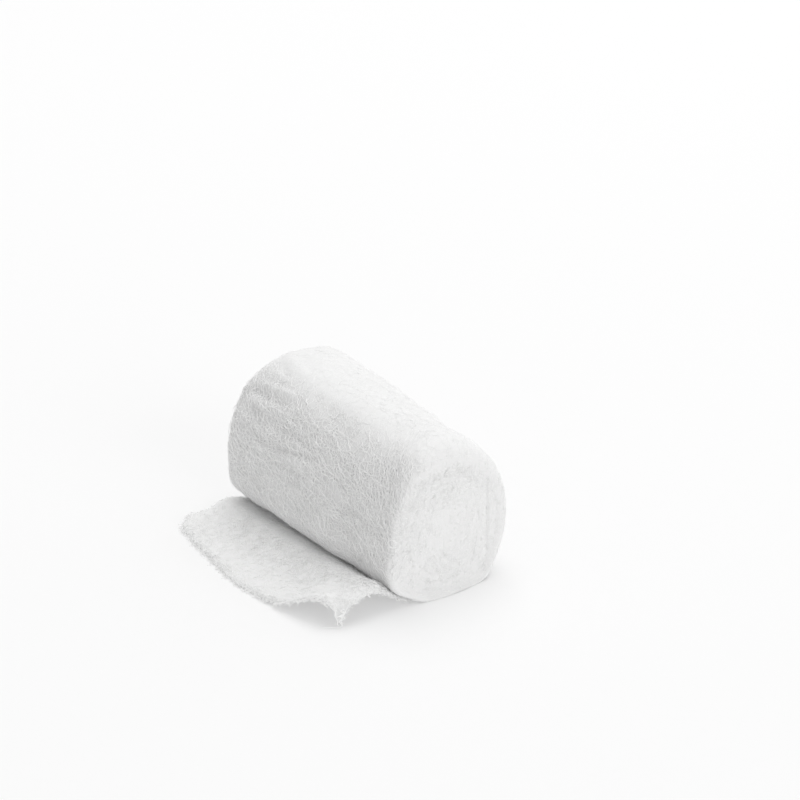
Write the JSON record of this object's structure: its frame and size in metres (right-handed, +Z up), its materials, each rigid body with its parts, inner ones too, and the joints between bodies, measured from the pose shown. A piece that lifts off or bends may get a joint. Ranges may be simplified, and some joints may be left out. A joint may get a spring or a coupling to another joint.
{
  "type": "gauze bandage roll",
  "caption": "Fluffy cotton gauze bandage wound into a soft roll that lies on its side, its frayed loose end laid out in a low wave.",
  "frame": {"origin": "on the surface that the roll lies on, in the middle of the whole object's outline", "axes": "+Y along the roll's axis towards its back end, +Z up, the loose end runs out towards -X"},
  "size_m": [0.1005, 0.1225, 0.0691],
  "materials": {
    "gauze": "soft matt fluffed cotton"
  },
  "bodies": {
    "root": {"roll": "gauze", "loose_end": "gauze"}
  },
  "joints": []
}
